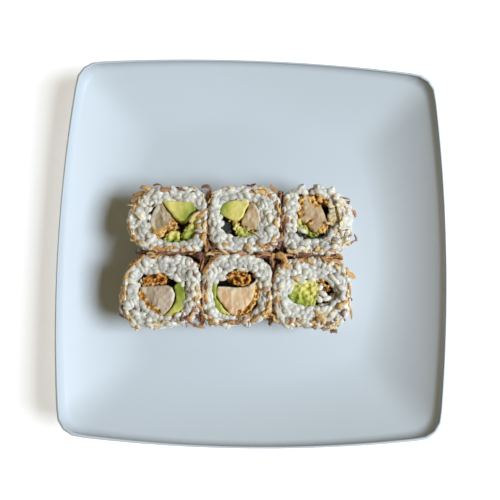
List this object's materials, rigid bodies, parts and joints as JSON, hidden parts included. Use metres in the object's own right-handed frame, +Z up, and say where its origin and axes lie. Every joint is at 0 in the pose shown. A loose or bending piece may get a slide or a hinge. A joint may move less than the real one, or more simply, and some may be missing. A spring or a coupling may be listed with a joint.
{
  "type": "uramaki roll",
  "caption": "Uramaki: inside-out sushi pieces of rice with crisp flakes, nori, avocado and fried chicken, cut face up on a square white plate.",
  "frame": {"origin": "on the surface that the plate stands on, under the middle of the plate", "axes": "+Z up, +X along the two rows of rolls, +Y from the front row to the back row"},
  "size_m": [0.21, 0.21, 0.0346],
  "materials": {
    "porcelain": "glossy white glaze",
    "rice": "moist cooked rice with crisp fried flakes",
    "nori": "damp seaweed sheet",
    "avocado": "soft cut avocado",
    "chicken": "cooked chicken meat with visible fibres",
    "crust": "fried crumb coating"
  },
  "bodies": {
    "root": {"plate": "porcelain", "rice_back_left": "rice", "rice_back_middle": "rice", "rice_back_right": "rice", "rice_front_left": "rice", "rice_front_middle": "rice", "rice_front_right": "rice", "nori_back_left": "nori", "nori_back_middle": "nori", "nori_back_right": "nori", "nori_front_left": "nori", "nori_front_middle": "nori", "nori_front_right": "nori", "avocado_slice_back_left": "avocado", "avocado_end_back_left": "avocado", "avocado_edge_back_left": "avocado", "avocado_slice_back_middle": "avocado", "avocado_end_back_middle": "avocado", "avocado_end_back_right": "avocado", "avocado_slice_front_left": "avocado", "avocado_slice_front_middle": "avocado", "avocado_end_front_right": "avocado", "chicken_back_left": "chicken", "chicken_back_middle": "chicken", "chicken_back_right": "chicken", "chicken_front_left": "chicken", "chicken_front_middle": "chicken", "nori_fold_back_middle": "nori", "crust_back_right": "crust", "crust_front_left": "crust", "crust_front_middle": "crust", "crust_front_right": "crust"}
  },
  "joints": []
}
